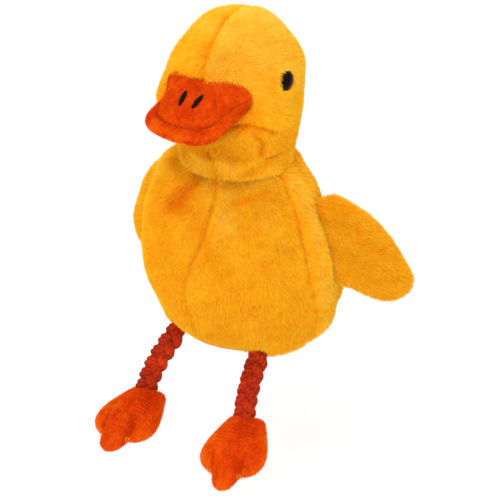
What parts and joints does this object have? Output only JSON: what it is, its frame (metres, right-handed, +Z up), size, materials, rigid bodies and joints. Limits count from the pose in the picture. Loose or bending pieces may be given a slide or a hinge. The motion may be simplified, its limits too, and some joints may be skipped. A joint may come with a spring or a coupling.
{
  "type": "moving mouth hand puppet",
  "caption": "Plush duckling hand puppet with an opening beak, a head that turns and nods, flapping wings and feet hanging on braided legs.",
  "frame": {"origin": "middle of the hand opening, in the plane of the hem", "axes": "+Z up through the neck, -Y the way the duckling looks, +X its left side"},
  "size_m": [0.1598, 0.1299, 0.2319],
  "materials": {
    "plush": "short dense pile",
    "wing_plush": "short dense pile",
    "lining": "plain woven cloth",
    "wadding": "polyester fibre",
    "velour": "brushed velour",
    "mouth_cloth": "felt",
    "board": "stiff sheet",
    "eye": "polished",
    "washer": "moulded",
    "thread": "satin stitch",
    "braid": "braided cord"
  },
  "bodies": {
    "torso": {"body_front_left": "plush", "body_front_right": "plush", "body_back": "plush", "body_lining": "lining", "hem_band": "wing_plush"},
    "neck": {"neck_cover": "plush", "neck_lining": "lining"},
    "head": {"head_left": "plush", "head_right": "plush", "chin_gusset": "plush", "crown_padding": "wadding", "head_lining": "lining", "eye_left": "eye", "eye_right": "eye", "eye_washer_left": "washer", "eye_washer_right": "washer", "upper_beak_cover": "velour", "upper_beak_padding": "wadding", "upper_mouth_plate": "board", "palate_cloth": "mouth_cloth", "nostril_left": "thread", "nostril_right": "thread", "mouth_fold": "mouth_cloth"},
    "jaw": {"lower_beak_cover": "velour", "lower_beak_padding": "wadding", "lower_mouth_plate": "board", "mouth_floor_cloth": "mouth_cloth"},
    "wing_left": {"wing_left_front": "wing_plush", "wing_left_back": "wing_plush", "wing_left_padding": "wadding", "wing_left_root": "wing_plush"},
    "wing_right": {"wing_right_front": "wing_plush", "wing_right_back": "wing_plush", "wing_right_padding": "wadding", "wing_right_root": "wing_plush"},
    "leg_left": {"leg_left": "braid"},
    "leg_right": {"leg_right": "braid"},
    "foot_left": {"foot_left_top": "velour", "foot_left_sole": "velour", "foot_left_stuffing": "wadding"},
    "foot_right": {"foot_right_top": "velour", "foot_right_sole": "velour", "foot_right_stuffing": "wadding"}
  },
  "joints": [
    {"name": "head_turn", "type": "hinge", "parent": "torso", "child": "neck", "pos_m": [0, -0.014, 0.107], "axis": [0, 0, 1], "range_deg": [-35, 35], "stiffness_Nm_per_rad": 0.08},
    {"name": "head_nod", "type": "hinge", "parent": "neck", "child": "head", "pos_m": [0, -0.014, 0.107], "axis": [1, 0, 0], "range_deg": [-15, 15], "stiffness_Nm_per_rad": 0.2},
    {"name": "jaw_hinge", "type": "hinge", "parent": "head", "child": "jaw", "pos_m": [0, -0.039, 0.1445], "axis": [1, 0, 0], "range_deg": [0, 30], "stiffness_Nm_per_rad": 0.03, "springref_deg": -3.44, "deforming": ["chin_gusset"]},
    {"name": "wing_left_flap", "type": "hinge", "parent": "torso", "child": "wing_left", "pos_m": [0.04833, -0.00155, 0.0524], "axis": [-0.196, -0.1193, 0.9733], "range_deg": [-60, 28], "stiffness_Nm_per_rad": 0.02},
    {"name": "wing_right_flap", "type": "hinge", "parent": "torso", "child": "wing_right", "pos_m": [-0.04833, -0.00155, 0.0524], "axis": [-0.196, 0.1193, -0.9733], "range_deg": [-60, 28], "stiffness_Nm_per_rad": 0.02},
    {"name": "hip_left", "type": "hinge", "parent": "torso", "child": "leg_left", "pos_m": [0.02308, -0.03565, -0.00369], "axis": [1, 0, 0], "range_deg": [-30, 60], "stiffness_Nm_per_rad": 0.02},
    {"name": "hip_right", "type": "hinge", "parent": "torso", "child": "leg_right", "pos_m": [-0.02837, -0.0316, -0.00368], "axis": [1, 0, 0], "range_deg": [-45, 45], "stiffness_Nm_per_rad": 0.02},
    {"name": "ankle_left", "type": "hinge", "parent": "leg_left", "child": "foot_left", "pos_m": [0.02712, -0.05333, -0.02632], "axis": [1, 0, 0], "range_deg": [-35, 30], "stiffness_Nm_per_rad": 0.01},
    {"name": "ankle_right", "type": "hinge", "parent": "leg_right", "child": "foot_right", "pos_m": [-0.03636, -0.04114, -0.02988], "axis": [1, 0, 0], "range_deg": [-35, 30], "stiffness_Nm_per_rad": 0.01}
  ]
}
